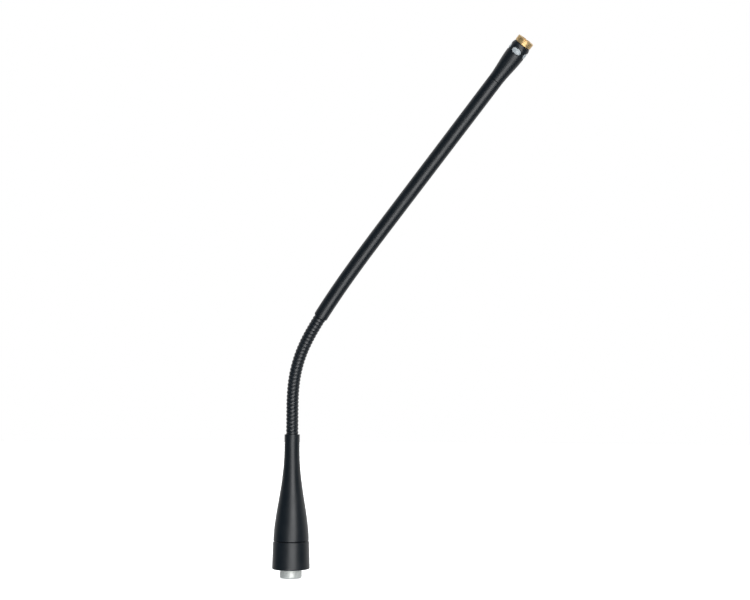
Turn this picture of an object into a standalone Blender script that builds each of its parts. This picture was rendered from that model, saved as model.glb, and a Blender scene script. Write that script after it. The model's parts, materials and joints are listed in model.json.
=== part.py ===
"""Gooseneck podium microphone without its capsule: a locking plug base, a flexible neck of short
rigid coil stretches, a rigid stem and a lit head that ends in a threaded collar.

Frame: metres, +Z up along the base, origin at the centre of the locking ring's seating face.
The neck leans towards +X. Sizes below are in millimetres and degrees."""
import math

import bmesh
import bpy
from mathutils import Matrix, Vector

MM = 0.001
GAP = 0.3
OBJECT_NAME = "gooseneck_podium_microphone"

# Centreline of the neck, by distance along it from the seating face
TOTAL_LENGTH = 300.0
BEND_START = 78.0
BEND_END = 127.0
BEND_ANGLE = 37.0
SWEEP_START = 120.5
SWEEP_LENGTH = 75.0
SWEEP_ANGLE = 7.6
CENTRELINE_STEP = 0.1

# Base
PLUG_DEPTH = 4.4
PLUG_RADIUS = 5.5
PLUG_INNER_RADIUS = 4.6
PLUG_STEM_RADIUS = 5.0
PLUG_SHOULDER = 1.6
PLUG_TOP = 9.5
PLUG_CHAMFER = 0.5
INSULATOR_TOP = 8.5
INSULATOR_FACE = -0.8
PIN_COUNT = 5
PIN_RADIUS = 0.5
PIN_CIRCLE_RADIUS = 2.8
PIN_TOP = 11.5
PIN_TIP = 0.45 - PLUG_DEPTH
RING_HEIGHT = 13.6
RING_BOTTOM_RADIUS = 9.5
RING_TOP_RADIUS = 9.04
RING_EDGE_RADIUS = 1.0
RING_THREAD_RADIUS = 7.0
RING_THREAD_HEIGHT = 5.6
RING_BORE_RADIUS = 6.6
RING_SEAL_HEIGHT = 11.8
RING_SEAL_RADIUS = 7.4
SPIGOT_RADIUS = RING_BORE_RADIUS - GAP
SPIGOT_BORE_RADIUS = PLUG_STEM_RADIUS + GAP
SPIGOT_BOTTOM = 2.0
SNAP_CENTRE = 5.05
SNAP_GROOVE_HALF_HEIGHT = 0.45
SNAP_GROOVE_DEPTH = 0.45
CONE_BOTTOM = RING_HEIGHT + 0.4
CONE_TOP = 67.1
CONE_BOTTOM_RADIUS = 8.93
CONE_TOP_RADIUS = 3.86
CONE_NECK_HEIGHT = 60.2
CONE_SKEW = 0.86
CAVITY_RADIUS = 6.3
CAVITY_BOTTOM = 15.0
CAVITY_TOP = 24.0
FERRULE_SEAT = 34.4
FERRULE_TOP = 41.0
FERRULE_POCKET_RADIUS = 4.3
CONE_BORE_RADIUS = 3.4
SET_SCREW_HEIGHT = 38.0
SET_SCREW_HOLE_RADIUS = 1.1

# Flexible neck
COIL_PITCH = 1.92
COIL_CREST_RADIUS = 3.08
COIL_WEB_RADIUS = 2.6
COIL_BORE_RADIUS = 1.9
COIL_HIDDEN_RADIUS = 2.55
RIB_HALF_WIDTH = 0.46
LINK_COUNT = 15
LINK_LENGTH = 2 * COIL_PITCH
FIRST_JOINT = 69.6
ROOT_START = 36.0
TIP_LENGTH = 11.5
CABLE_RADIUS = 1.2
CABLE_START = 22.0
CABLE_END = 281.0

# Stem and head; head sizes are heights above the seam between tube and head
TUBE_START = 130.6
TUBE_RADIUS = 3.57
TUBE_WALL = 0.3
HEAD_SEAM = 277.1
SEAM_GAP = 0.15
HEAD_RADIUS = 4.5
HEAD_FLARE_END = 14.5
HEAD_SHOULDER = 18.7
HEAD_TOP = 20.0
HEAD_TOP_RADIUS = 4.08
HEAD_BORE_RADIUS = 3.7
HEAD_BORE_BOTTOM = 11.4
HEAD_BORE_TOP = 18.6
HEAD_MOUTH_RADIUS = 3.2
HEAD_STUB_DEPTH = 5.0
WINDOW_COUNT = 4
WINDOW_HEIGHT = 16.45
WINDOW_HALF_WIDTH = 2.33
WINDOW_HALF_HEIGHT = 1.4
WINDOW_CLEARANCE = 0.25
FIRST_WINDOW_ANGLE = -63.0
GUIDE_BOTTOM = 13.9
GUIDE_TOP = 18.2
GUIDE_RADIUS = 3.4
GUIDE_BORE_RADIUS = 2.7
LED_BOARD_BOTTOM = 11.7
LED_BOARD_TOP = 12.3
COLLAR_RADIUS = 4.14
COLLAR_BOTTOM = HEAD_TOP + GAP
COLLAR_TOP = TOTAL_LENGTH - HEAD_SEAM
COLLAR_BORE_RADIUS = 2.4
COLLAR_THREAD_PITCH = 0.7
COLLAR_CREST_COUNT = 3
CONTACT_RADIUS = 0.5
BARREL_RADIUS = 1.0
BARREL_BORE_RADIUS = 0.75
BARREL_BOTTOM = 13.2
SPRING_TURNS = 6
SPRING_RADIUS = 0.5
SPRING_WIRE_RADIUS = 0.09
SPRING_BOTTOM = 13.85
SPRING_TOP = 18.05


def smooth_ramp(value, low, high):
    """0 below low, 1 above high, and a smooth rise between."""
    t = min(max((value - low) / (high - low), 0.0), 1.0)
    return t * t * (3.0 - 2.0 * t)


def lean_at(distance):
    """The centreline's lean from +Z towards +X, in radians."""
    sweep = min(max((distance - SWEEP_START) / SWEEP_LENGTH, 0.0), 1.0)
    bend = BEND_ANGLE * smooth_ramp(distance, BEND_START, BEND_END)
    return math.radians(bend + SWEEP_ANGLE * (1.0 - (1.0 - sweep) ** 2))


def point_at(distance):
    """The centreline's point at a distance from the seating face, in millimetres."""
    steps = max(1, round(distance / CENTRELINE_STEP))
    step = distance / steps
    leans = [lean_at((i + 0.5) * step) for i in range(steps)]
    return Vector((sum(map(math.sin, leans)) * step, 0.0, sum(map(math.cos, leans)) * step))


def place(origin, along):
    """A matrix in metres whose Z runs along a direction in the XZ plane and whose Y is world Y."""
    z_axis = along.normalized()
    y_axis = Vector((0.0, 1.0, 0.0))
    x_axis = y_axis.cross(z_axis)
    rotation = Matrix((x_axis, y_axis, z_axis)).transposed().to_4x4()
    return Matrix.Translation(origin * MM) @ rotation


def direction_at(distance):
    lean = lean_at(distance)
    return Vector((math.sin(lean), 0.0, math.cos(lean)))


BASE_PLACE = Matrix.Identity(4)
JOINTS = [point_at(FIRST_JOINT + LINK_LENGTH * i) for i in range(LINK_COUNT + 1)]
LAST_JOINT = FIRST_JOINT + LINK_LENGTH * LINK_COUNT
HEAD_PLACE = place(point_at(HEAD_SEAM), direction_at(HEAD_SEAM))

for old_object in list(bpy.data.objects):
    bpy.data.objects.remove(old_object, do_unlink=True)
parts = bpy.data.collections.new(OBJECT_NAME)
cutters = bpy.data.collections.new("cutters")
bpy.context.scene.collection.children.link(parts)
bpy.context.scene.collection.children.link(cutters)


def material(name, colour, roughness, metallic):
    """A Principled BSDF material."""
    made = bpy.data.materials.new(name)
    made.use_nodes = True
    shader = made.node_tree.nodes["Principled BSDF"]
    shader.inputs["Base Color"].default_value = (*colour, 1.0)
    shader.inputs["Roughness"].default_value = roughness
    shader.inputs["Metallic"].default_value = metallic
    return made


BLACK_COAT = material("black_coat", (0.020, 0.023, 0.026), 0.38, 0.0)
BLACK_COIL = material("black_coil", (0.024, 0.027, 0.030), 0.33, 0.3)
NICKEL = material("nickel", (0.72, 0.73, 0.70), 0.28, 1.0)
GOLD_BRASS = material("gold_brass", (0.72, 0.50, 0.22), 0.3, 1.0)
STEEL = material("steel", (0.55, 0.55, 0.56), 0.35, 1.0)
RUBBER = material("rubber", (0.02, 0.02, 0.02), 0.8, 0.0)
DARK_PLASTIC = material("dark_plastic", (0.03, 0.03, 0.032), 0.5, 0.0)
PALE_PLASTIC = material("pale_plastic", (0.80, 0.79, 0.74), 0.45, 0.0)
FROSTED = material("frosted", (0.80, 0.83, 0.82), 0.35, 0.0)
BOARD_GREEN = material("board_green", (0.03, 0.16, 0.07), 0.45, 0.0)
CABLE_GREY = material("cable_grey", (0.10, 0.10, 0.11), 0.55, 0.0)
LAMP_WHITE = material("lamp_white", (0.9, 0.88, 0.78), 0.3, 0.0)


def add_object(name, mesh, matrix, collection, finish=None):
    """Link a mesh as an object at a matrix, with its material."""
    made = bpy.data.objects.new(name, mesh)
    collection.objects.link(made)
    made.matrix_world = matrix
    if finish is not None:
        mesh.materials.append(finish)
    return made


def turned(name, profile, steps, matrix, finish):
    """Turn a (radius, height) profile about local Z; it runs down the outer side first.
    A profile that starts and ends on the axis stays open, any other is closed on itself."""
    mesh = bpy.data.meshes.new(name)
    points = [(radius * MM, 0.0, height * MM) for radius, height in profile]
    edges = [(i, i + 1) for i in range(len(points) - 1)]
    if profile[0][0] > 0.0:
        edges.append((len(points) - 1, 0))
    mesh.from_pydata(points, edges, [])
    made = add_object(name, mesh, matrix, parts, finish)
    screw = made.modifiers.new("turn", "SCREW")
    screw.axis = "Z"
    screw.steps = steps
    screw.render_steps = steps
    screw.use_merge_vertices = True
    screw.merge_threshold = 0.00001
    screw.use_smooth_shade = True
    return made


def mesh_from(name, build):
    """A mesh filled by a function that takes a bmesh."""
    mesh = bpy.data.meshes.new(name)
    shape = bmesh.new()
    build(shape)
    bmesh.ops.scale(shape, vec=(MM, MM, MM), verts=shape.verts)
    shape.to_mesh(mesh)
    shape.free()
    return mesh


def box(name, size, centre, matrix, finish):
    """A box with its centre at a local point."""
    def build(shape):
        bmesh.ops.create_cube(shape, size=1.0)
        bmesh.ops.scale(shape, vec=size, verts=shape.verts)
        bmesh.ops.translate(shape, vec=centre, verts=shape.verts)
    return add_object(name, mesh_from(name, build), matrix, parts, finish)


def hide_tool(made):
    made.hide_render = True
    made.display_type = "WIRE"
    return made


def cylinders(name, rods, sides):
    """A mesh of straight rods, each (start, end, radius, widening across local X)."""
    def build(shape):
        for start, end, radius, stretch in rods:
            axis = end - start
            turn = axis.to_track_quat("Z", "Y").to_matrix().to_4x4()
            placed = Matrix.Translation((start + end) / 2.0) @ turn
            placed = placed @ Matrix.Diagonal((stretch, 1.0, 1.0, 1.0))
            bmesh.ops.create_cone(shape, cap_ends=True, segments=sides, radius1=radius,
                                  radius2=radius, depth=axis.length, matrix=placed)
    return mesh_from(name, build)


def combine(target, tool, operation):
    """Cut or join the target with a hidden tool by an exact Boolean."""
    modifier = target.modifiers.new(operation.lower(), "BOOLEAN")
    modifier.operation = operation
    modifier.solver = "EXACT"
    modifier.object = tool


def cone_radius(height):
    """The base cone's outer radius: a slightly skewed cosine from its rim to its neck."""
    t = min(max((height - CONE_BOTTOM) / (CONE_NECK_HEIGHT - CONE_BOTTOM), 0.0), 1.0)
    fall = (1.0 + math.cos(math.pi * t ** CONE_SKEW)) / 2.0
    return CONE_TOP_RADIUS + (CONE_BOTTOM_RADIUS - CONE_TOP_RADIUS) * fall


def arc(centre_radius, centre_height, radius, start, end, count):
    """Points of an arc in the profile plane, its angles in degrees from the outward direction."""
    angles = [math.radians(start + (end - start) * i / count) for i in range(count + 1)]
    return [(centre_radius + radius * math.cos(a), centre_height + radius * math.sin(a))
            for a in angles]


def make_plug():
    """The plated sleeve that enters the socket, its insulator and its contact pins."""
    turned("plug_sleeve", [
        (PLUG_STEM_RADIUS, PLUG_TOP), (PLUG_STEM_RADIUS, PLUG_SHOULDER),
        (PLUG_RADIUS, PLUG_SHOULDER), (PLUG_RADIUS, -0.6), (PLUG_RADIUS - 0.15, -0.75),
        (PLUG_RADIUS - 0.15, -1.0), (PLUG_RADIUS, -1.15), (PLUG_RADIUS, PLUG_CHAMFER - PLUG_DEPTH),
        (PLUG_RADIUS - PLUG_CHAMFER, -PLUG_DEPTH), (PLUG_INNER_RADIUS + 0.1, -PLUG_DEPTH),
        (PLUG_INNER_RADIUS, -PLUG_DEPTH + 0.2), (PLUG_INNER_RADIUS, PLUG_TOP),
    ], 28, BASE_PLACE, NICKEL)
    radius = PLUG_INNER_RADIUS - GAP
    insulator = turned("plug_insulator", [
        (0.0, INSULATOR_TOP), (radius, INSULATOR_TOP), (radius, INSULATOR_FACE + 0.2),
        (radius - 0.2, INSULATOR_FACE), (0.0, INSULATOR_FACE),
    ], 24, BASE_PLACE, DARK_PLASTIC)
    rods = []
    for i in range(PIN_COUNT):
        angle = math.radians(90.0 + 360.0 * (i + 0.5) / PIN_COUNT)
        centre = Vector((math.cos(angle), math.sin(angle), 0.0)) * PIN_CIRCLE_RADIUS
        rods.append((centre + Vector((0, 0, PIN_TIP)), centre + Vector((0, 0, PIN_TOP)),
                     PIN_RADIUS + 0.25, 1.0))
        turned(f"contact_pin_{i + 1}", [
            (0.0, PIN_TOP), (PIN_RADIUS, PIN_TOP), (PIN_RADIUS, PIN_TIP + 0.55),
            (PIN_RADIUS * 0.7, PIN_TIP + 0.15), (0.0, PIN_TIP),
        ], 10, Matrix.Translation(centre * MM), GOLD_BRASS)
    tool = add_object("pin_holes", cylinders("pin_holes", rods, 12), BASE_PLACE, cutters)
    combine(insulator, hide_tool(tool), "DIFFERENCE")


def make_locking_ring():
    """The tapered ring that turns on the base's spigot and screws onto the socket."""
    corner = RING_BOTTOM_RADIUS - RING_EDGE_RADIUS
    profile = [(RING_TOP_RADIUS - 0.15, RING_HEIGHT), (RING_TOP_RADIUS, RING_HEIGHT - 0.15)]
    profile += arc(corner, RING_EDGE_RADIUS, RING_EDGE_RADIUS, 0.0, -90.0, 4)
    profile += [
        (RING_THREAD_RADIUS + 0.2, 0.0), (RING_THREAD_RADIUS, 0.2),
        (RING_THREAD_RADIUS, RING_THREAD_HEIGHT), (RING_BORE_RADIUS, RING_THREAD_HEIGHT),
        (RING_BORE_RADIUS, RING_SEAL_HEIGHT), (RING_SEAL_RADIUS, RING_SEAL_HEIGHT),
        (RING_SEAL_RADIUS, RING_HEIGHT),
    ]
    turned("locking_ring", profile, 32, BASE_PLACE, BLACK_COAT)


def make_base_cone():
    """The bottle-shaped housing with the spigot for the ring, and its set screw."""
    count = 13
    heights = [CONE_TOP - 0.2 - (CONE_TOP - 0.2 - CONE_BOTTOM) * i / count for i in range(count + 1)]
    profile = [(CONE_TOP_RADIUS - 0.2, CONE_TOP)]
    profile += [(cone_radius(height), height) for height in heights]
    groove = SPIGOT_RADIUS - SNAP_GROOVE_DEPTH
    groove_top = SNAP_CENTRE + SNAP_GROOVE_HALF_HEIGHT
    groove_bottom = SNAP_CENTRE - SNAP_GROOVE_HALF_HEIGHT
    profile += [
        (SPIGOT_RADIUS, CONE_BOTTOM), (SPIGOT_RADIUS, groove_top), (groove, groove_top),
        (groove, groove_bottom), (SPIGOT_RADIUS, groove_bottom),
        (SPIGOT_RADIUS, SPIGOT_BOTTOM), (SPIGOT_BORE_RADIUS, SPIGOT_BOTTOM),
        (SPIGOT_BORE_RADIUS, CONE_BOTTOM), (CAVITY_RADIUS, CAVITY_BOTTOM), (CAVITY_RADIUS, CAVITY_TOP),
        (FERRULE_POCKET_RADIUS + 0.4, FERRULE_SEAT - 1.5), (FERRULE_POCKET_RADIUS, FERRULE_SEAT - 1.2),
        (FERRULE_POCKET_RADIUS, FERRULE_TOP), (CONE_BORE_RADIUS, FERRULE_TOP),
        (CONE_BORE_RADIUS, CONE_TOP),
    ]
    cone = turned("base_cone", profile, 28, BASE_PLACE, BLACK_COAT)

    outward = Vector((-0.5, math.sqrt(0.75), 0.0))
    level = Vector((0.0, 0.0, SET_SCREW_HEIGHT))
    hole = [(level + outward * 3.9, level + outward * 8.0, SET_SCREW_HOLE_RADIUS, 1.0)]
    tool = add_object("set_screw_hole", cylinders("set_screw_hole", hole, 14), BASE_PLACE, cutters)
    combine(cone, hide_tool(tool), "DIFFERENCE")
    turn = outward.to_track_quat("Z", "Y").to_matrix().to_4x4()
    screw_place = Matrix.Translation(level * MM) @ turn
    screw = turned("set_screw", [(0.0, 5.35), (0.7, 5.35), (0.8, 5.25), (0.8, 4.5), (0.6, 4.35),
                                 (0.0, 4.35)], 14, screw_place, STEEL)
    socket = [(Vector((0, 0, 4.9)), Vector((0, 0, 5.8)), 0.42, 1.0)]
    tool = add_object("set_screw_socket", cylinders("set_screw_socket", socket, 6), screw_place, cutters)
    combine(screw, hide_tool(tool), "DIFFERENCE")


def make_base_internals():
    """Snap ring, seal, board with its components, cable clamp, ferrule and nut."""
    inner = SPIGOT_RADIUS - 0.25
    outer = RING_THREAD_RADIUS - 0.15
    low = SNAP_CENTRE - 0.25
    high = SNAP_CENTRE + 0.25
    snap = turned("retaining_ring", [(outer, high), (outer, low), (inner, low), (inner, high)],
                  32, BASE_PLACE, STEEL)
    gap_rod = [(Vector((0, 4, SNAP_CENTRE)), Vector((0, 9, SNAP_CENTRE)), 1.3, 1.0)]
    tool = add_object("snap_gap", cylinders("snap_gap", gap_rod, 4), BASE_PLACE, cutters)
    combine(snap, hide_tool(tool), "DIFFERENCE")

    turned("seal_ring", arc(6.87, 12.6, 0.3, 90.0, -225.0, 7), 28, BASE_PLACE, RUBBER)
    box("base_board", (9.6, 0.8, 12.4), (0.0, 2.3, 20.8), BASE_PLACE, BOARD_GREEN)
    box("board_chip", (2.8, 0.9, 3.0), (-3.1, 1.15, 18.5), BASE_PLACE, DARK_PLASTIC)
    can_place = Matrix.Translation(Vector((1.4, 4.15, 18.0)) * MM)
    turned("board_capacitor", [(0.0, 4.5), (0.9, 4.5), (1.1, 4.3), (1.1, 0.0), (0.0, 0.0)],
           14, can_place, STEEL)
    turned("cable_clamp", [(2.5, 31.2), (2.5, 29.6), (1.5, 29.6), (1.5, 31.2)], 16, BASE_PLACE,
           PALE_PLASTIC)
    shoulder = ROOT_START - GAP
    bore = COIL_HIDDEN_RADIUS + 0.25
    turned("lower_ferrule", [
        (FERRULE_POCKET_RADIUS - GAP, FERRULE_TOP - GAP), (FERRULE_POCKET_RADIUS - GAP, FERRULE_SEAT),
        (COIL_BORE_RADIUS, FERRULE_SEAT), (COIL_BORE_RADIUS, shoulder), (bore, shoulder),
        (bore, FERRULE_TOP - GAP),
    ], 20, BASE_PLACE, STEEL)
    nut_radius = FERRULE_POCKET_RADIUS - 0.4
    turned("ferrule_nut", [
        (nut_radius, FERRULE_SEAT - GAP), (nut_radius, FERRULE_SEAT - 1.8),
        (COIL_BORE_RADIUS, FERRULE_SEAT - 1.8), (COIL_BORE_RADIUS, FERRULE_SEAT - GAP),
    ], 6, BASE_PLACE, STEEL)


def ribbed_profile(start, end, rib_centres, outer_top, outer_bottom):
    """A tube with raised ribs; the outer radius at each end may differ from the web's."""
    profile = [(outer_top, end)]
    for centre in sorted(rib_centres, reverse=True):
        profile += [(COIL_WEB_RADIUS, centre + RIB_HALF_WIDTH), (COIL_CREST_RADIUS, centre),
                    (COIL_WEB_RADIUS, centre - RIB_HALF_WIDTH)]
    profile += [(outer_bottom, start), (COIL_BORE_RADIUS, start), (COIL_BORE_RADIUS, end)]
    return profile


def make_neck():
    """The coil: a root in the base, rigid two-turn stretches between pivots, and a tip."""
    half = COIL_PITCH / 2.0
    end_gap = half - RIB_HALF_WIDTH
    root_ribs = [FIRST_JOINT - half - COIL_PITCH * i for i in range(3)]
    profile = ribbed_profile(ROOT_START, FIRST_JOINT - end_gap, root_ribs, COIL_WEB_RADIUS,
                             COIL_HIDDEN_RADIUS)
    turned("neck_coil_root", profile, 14, BASE_PLACE, BLACK_COIL)
    for i in range(LINK_COUNT):
        profile = ribbed_profile(end_gap, LINK_LENGTH - end_gap, [half, half + COIL_PITCH],
                                 COIL_WEB_RADIUS, COIL_WEB_RADIUS)
        turned(f"neck_coil_{i + 1:02d}", profile, 14, place(JOINTS[i], JOINTS[i + 1] - JOINTS[i]),
               BLACK_COIL)
    tip_place = place(JOINTS[-1], point_at(LAST_JOINT + TIP_LENGTH) - JOINTS[-1])
    profile = ribbed_profile(end_gap, TIP_LENGTH, [half, half + COIL_PITCH], COIL_HIDDEN_RADIUS,
                             COIL_WEB_RADIUS)
    turned("neck_coil_tip", profile, 14, tip_place, BLACK_COIL)


def swept_tube(name, distances, radii, radius, resolution, capped):
    """A round tube or rod along the centreline, as a mesh, with a radius factor at each point."""
    curve = bpy.data.curves.new(name, "CURVE")
    curve.dimensions = "3D"
    curve.bevel_depth = radius * MM
    curve.bevel_resolution = resolution
    curve.use_fill_caps = capped
    spline = curve.splines.new("POLY")
    spline.points.add(len(distances) - 1)
    for point, distance, factor in zip(spline.points, distances, radii):
        point.co = (*(point_at(distance) * MM), 1.0)
        point.radius = factor
    guide = bpy.data.objects.new(name + "_guide", curve)
    cutters.objects.link(guide)
    graph = bpy.context.evaluated_depsgraph_get()
    mesh = bpy.data.meshes.new_from_object(guide.evaluated_get(graph))
    bpy.data.objects.remove(guide, do_unlink=True)
    shape = bmesh.new()
    shape.from_mesh(mesh)
    bmesh.ops.remove_doubles(shape, verts=shape.verts, dist=0.000001)
    bmesh.ops.recalc_face_normals(shape, faces=shape.faces)
    shape.to_mesh(mesh)
    shape.free()
    mesh.name = name
    mesh.shade_smooth()
    return mesh


def make_stem(pivot):
    """The rigid tube and the ferrule that holds the coil's tip in it."""
    end = HEAD_SEAM - SEAM_GAP
    count = 12
    distances = [TUBE_START, TUBE_START + 0.35]
    distances += [TUBE_START + 4.0 + (end - TUBE_START - 4.0) * i / count for i in range(count + 1)]
    radii = [0.93] + [1.0] * (len(distances) - 1)
    mesh = swept_tube("stem_tube", distances, radii, TUBE_RADIUS, 8, False)
    tube = add_object("stem_tube", mesh, BASE_PLACE, parts, BLACK_COAT)
    wall = tube.modifiers.new("wall", "SOLIDIFY")
    wall.thickness = TUBE_WALL * MM
    wall.offset = -1.0
    adopt(tube, pivot)

    start = LAST_JOINT + TIP_LENGTH + GAP
    radius = TUBE_RADIUS - TUBE_WALL - GAP
    ferrule = turned("upper_ferrule", [(radius, 7.0), (radius, 0.0), (1.6, 0.0), (1.6, 7.0)], 18,
                     place(point_at(start), direction_at(start + 3.5)), STEEL)
    adopt(ferrule, pivot)


def make_cable():
    """The signal cable through the neck and the stem, whole along its real route."""
    distances = [CABLE_START + (FIRST_JOINT - CABLE_START) * i / 4 for i in range(4)]
    distances += [FIRST_JOINT + (LAST_JOINT - FIRST_JOINT) * i / 24 for i in range(24)]
    distances += [LAST_JOINT + (CABLE_END - LAST_JOINT) * i / 14 for i in range(15)]
    mesh = swept_tube("signal_cable", distances, [1.0] * len(distances), CABLE_RADIUS, 2, True)
    add_object("signal_cable", mesh, BASE_PLACE, parts, CABLE_GREY)


def head_radius(height):
    """The head sleeve's outer radius below its shoulder."""
    flare = smooth_ramp(height, 0.0, HEAD_FLARE_END)
    return TUBE_RADIUS + (HEAD_RADIUS - TUBE_RADIUS) * flare


def window_rods(inner, outer, half_width, half_height):
    """Oval rods through the head's windows, pointing outwards."""
    rods = []
    for i in range(WINDOW_COUNT):
        angle = math.radians(FIRST_WINDOW_ANGLE + 360.0 * i / WINDOW_COUNT)
        outward = Vector((math.cos(angle), math.sin(angle), 0.0))
        level = Vector((0.0, 0.0, WINDOW_HEIGHT))
        rods.append((level + outward * inner, level + outward * outer, half_height,
                     half_width / half_height))
    return rods


def make_head():
    """The flared sleeve with oval windows, and the light guide and lamps behind them."""
    count = 8
    profile = [(HEAD_MOUTH_RADIUS, HEAD_TOP), (HEAD_TOP_RADIUS, HEAD_TOP), (HEAD_RADIUS, HEAD_SHOULDER)]
    profile += [(head_radius(HEAD_FLARE_END * (1.0 - i / count)), HEAD_FLARE_END * (1.0 - i / count))
                for i in range(count + 1)]
    stub = TUBE_RADIUS - TUBE_WALL - GAP
    profile += [
        (stub, 0.0), (stub, -HEAD_STUB_DEPTH), (COIL_BORE_RADIUS, -HEAD_STUB_DEPTH),
        (COIL_BORE_RADIUS, 3.0), (HEAD_BORE_RADIUS - 0.3, HEAD_BORE_BOTTOM - 0.9),
        (HEAD_BORE_RADIUS, HEAD_BORE_BOTTOM), (HEAD_BORE_RADIUS, HEAD_BORE_TOP),
        (HEAD_MOUTH_RADIUS, HEAD_BORE_TOP),
    ]
    sleeve = turned("head_sleeve", profile, 28, HEAD_PLACE, BLACK_COAT)
    rods = window_rods(3.0, 6.0, WINDOW_HALF_WIDTH, WINDOW_HALF_HEIGHT)
    tool = add_object("window_holes", cylinders("window_holes", rods, 20), HEAD_PLACE, cutters)
    combine(sleeve, hide_tool(tool), "DIFFERENCE")

    guide = turned("light_guide", [
        (GUIDE_RADIUS, GUIDE_TOP), (GUIDE_RADIUS, GUIDE_BOTTOM), (GUIDE_BORE_RADIUS, GUIDE_BOTTOM),
        (GUIDE_BORE_RADIUS, GUIDE_TOP),
    ], 28, HEAD_PLACE, FROSTED)
    rods = window_rods(3.05, HEAD_RADIUS + 0.1, WINDOW_HALF_WIDTH - WINDOW_CLEARANCE,
                       WINDOW_HALF_HEIGHT - WINDOW_CLEARANCE)
    tool = add_object("window_lenses", cylinders("window_lenses", rods, 16), HEAD_PLACE, cutters)
    combine(guide, hide_tool(tool), "UNION")

    outer = HEAD_BORE_RADIUS - 0.4
    board = turned("led_board", [
        (outer, LED_BOARD_TOP), (outer, LED_BOARD_BOTTOM), (1.5, LED_BOARD_BOTTOM),
        (1.5, LED_BOARD_TOP),
    ], 20, HEAD_PLACE, BOARD_GREEN)
    pieces = [sleeve, guide, board]
    for i in range(WINDOW_COUNT):
        turn = Matrix.Rotation(math.radians(FIRST_WINDOW_ANGLE + 360.0 * i / WINDOW_COUNT), 4, "Z")
        lamp = box(f"led_{i + 1}", (0.8, 1.4, 0.7), (2.6, 0.0, LED_BOARD_TOP + 0.65),
                   HEAD_PLACE @ turn, LAMP_WHITE)
        pieces.append(lamp)
    return pieces


def make_capsule_mount():
    """The threaded collar for a capsule, with its insulated, sprung centre contact."""
    thread_start = COLLAR_TOP - 0.35
    profile = [(COLLAR_RADIUS - 0.3, COLLAR_TOP), (COLLAR_RADIUS, thread_start)]
    for i in range(COLLAR_CREST_COUNT):
        crest = thread_start - COLLAR_THREAD_PITCH * i
        profile += [(COLLAR_RADIUS - 0.2, crest - COLLAR_THREAD_PITCH / 2.0),
                    (COLLAR_RADIUS, crest - COLLAR_THREAD_PITCH)]
    spigot = HEAD_MOUTH_RADIUS - GAP
    profile += [
        (COLLAR_RADIUS, COLLAR_BOTTOM), (spigot, COLLAR_BOTTOM), (spigot, HEAD_BORE_TOP),
        (COLLAR_BORE_RADIUS, HEAD_BORE_TOP), (COLLAR_BORE_RADIUS, COLLAR_TOP),
    ]
    collar = turned("capsule_thread", profile, 28, HEAD_PLACE, GOLD_BRASS)
    outer = COLLAR_BORE_RADIUS - GAP
    bore = BARREL_RADIUS + 0.25
    top = COLLAR_TOP - 1.3
    insulator = turned("contact_insulator", [(outer, top), (outer, 14.5), (bore, 14.5), (bore, top)],
                       18, HEAD_PLACE, PALE_PLASTIC)
    top = COLLAR_TOP - 1.9
    floor = BARREL_BOTTOM + 0.5
    barrel = turned("contact_barrel", [
        (BARREL_RADIUS, top), (BARREL_RADIUS, BARREL_BOTTOM), (0.4, BARREL_BOTTOM), (0.4, floor),
        (BARREL_BORE_RADIUS, floor), (BARREL_BORE_RADIUS, top),
    ], 14, HEAD_PLACE, GOLD_BRASS)
    top = COLLAR_TOP - 0.5
    bottom = SPRING_TOP + 0.35
    turned("center_contact", [
        (0.0, top), (CONTACT_RADIUS - 0.2, top - 0.1), (CONTACT_RADIUS, top - 0.4),
        (CONTACT_RADIUS, bottom), (0.0, bottom),
    ], 12, HEAD_PLACE, GOLD_BRASS)
    return [collar, insulator, barrel, make_spring()]


def make_spring():
    """The coil spring under the centre contact."""
    points_per_turn = 8
    curve = bpy.data.curves.new("contact_spring", "CURVE")
    curve.dimensions = "3D"
    curve.bevel_depth = SPRING_WIRE_RADIUS * MM
    curve.bevel_resolution = 0
    curve.use_fill_caps = True
    spline = curve.splines.new("POLY")
    count = SPRING_TURNS * points_per_turn
    rise = (SPRING_TOP - SPRING_BOTTOM) / count
    spline.points.add(count)
    for i, point in enumerate(spline.points):
        angle = 2.0 * math.pi * i / points_per_turn
        local = Vector((SPRING_RADIUS * math.cos(angle), SPRING_RADIUS * math.sin(angle),
                        SPRING_BOTTOM + rise * i))
        point.co = (*(local * MM), 1.0)
    curve.materials.append(STEEL)
    spring = bpy.data.objects.new("contact_spring", curve)
    parts.objects.link(spring)
    spring.matrix_world = HEAD_PLACE
    return spring


def adopt(child, parent):
    """Parent an object and keep it where it is."""
    bpy.context.view_layer.update()
    child.parent = parent
    child.matrix_parent_inverse = parent.matrix_world.inverted()


def make_pivot(name, origin, along):
    pivot = bpy.data.objects.new(name, None)
    parts.objects.link(pivot)
    pivot.empty_display_size = 0.004
    pivot.matrix_world = place(origin, along)
    return pivot


stem_pivot = make_pivot("stem_pivot", JOINTS[-1], direction_at(LAST_JOINT))
make_plug()
make_locking_ring()
make_base_cone()
make_base_internals()
make_neck()
make_stem(stem_pivot)
make_cable()
for piece in make_head() + make_capsule_mount():
    adopt(piece, stem_pivot)
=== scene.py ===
"""Looks of the gooseneck podium microphone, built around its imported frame.

Every turned or wound piece is described by (radius, distance along the centreline, angle)
and carried into the frame by one map, so straight, curved and inclined stretches share the same
code. Sizes are in millimetres and degrees unless a name says otherwise."""

import json
import math

import bmesh
import bpy
import numpy as np
from mathutils import Matrix, Vector

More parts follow.
